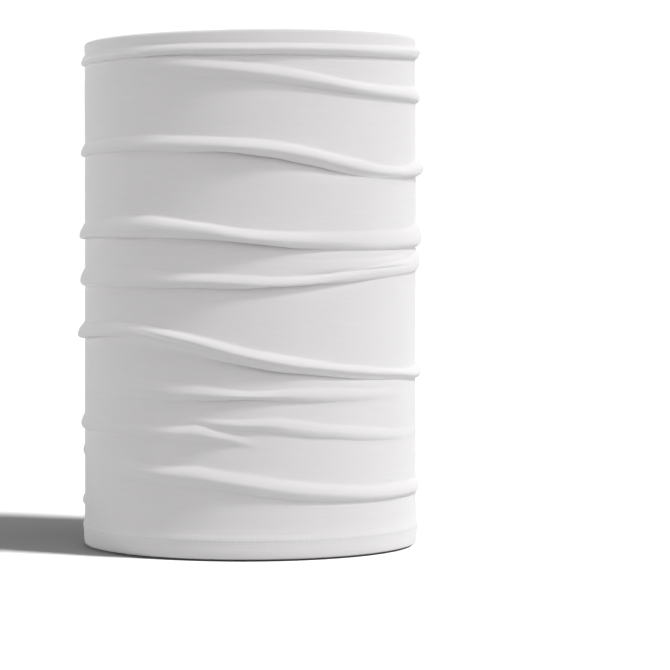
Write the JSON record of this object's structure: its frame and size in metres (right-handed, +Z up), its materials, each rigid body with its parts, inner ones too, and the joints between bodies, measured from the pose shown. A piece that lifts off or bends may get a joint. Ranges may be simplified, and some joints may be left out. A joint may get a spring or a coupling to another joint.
{
  "type": "neck gaiter",
  "caption": "Stretch-knit tube worn round the neck and lower face, with a turned-in stitched hem at each end and a seam down the back; its cloth gathers down into soft folds.",
  "frame": {"origin": "centre of the bottom opening, on the plane the gaiter stands on", "axes": "+Z up along the tube towards the top hem; the front faces -Y and the back seam is at +Y"},
  "size_m": [0.166, 0.1679, 0.242],
  "materials": {
    "knit_fabric": "matte white stretch knit",
    "sewing_thread": "white polyester thread, slight sheen"
  },
  "bodies": {
    "lower_end": {"bottom_hem": "knit_fabric", "bottom_hem_needle_thread_upper": "sewing_thread", "bottom_hem_needle_thread_lower": "sewing_thread", "bottom_hem_looper_thread": "sewing_thread", "fabric_tube": "knit_fabric", "back_seam_needle_thread_left": "sewing_thread", "back_seam_needle_thread_right": "sewing_thread", "back_seam_looper_thread": "sewing_thread", "back_seam_cover_thread": "sewing_thread"},
    "upper_end": {"top_hem": "knit_fabric", "top_hem_needle_thread_upper": "sewing_thread", "top_hem_needle_thread_lower": "sewing_thread", "top_hem_looper_thread": "sewing_thread"}
  },
  "joints": [
    {"name": "gather", "type": "slide", "parent": "lower_end", "child": "upper_end", "axis": [0, 0, 1], "range_m": [-0.16, 0.012], "deforming": ["fabric_tube", "back_seam_needle_thread_left", "back_seam_needle_thread_right", "back_seam_looper_thread", "back_seam_cover_thread"]}
  ]
}
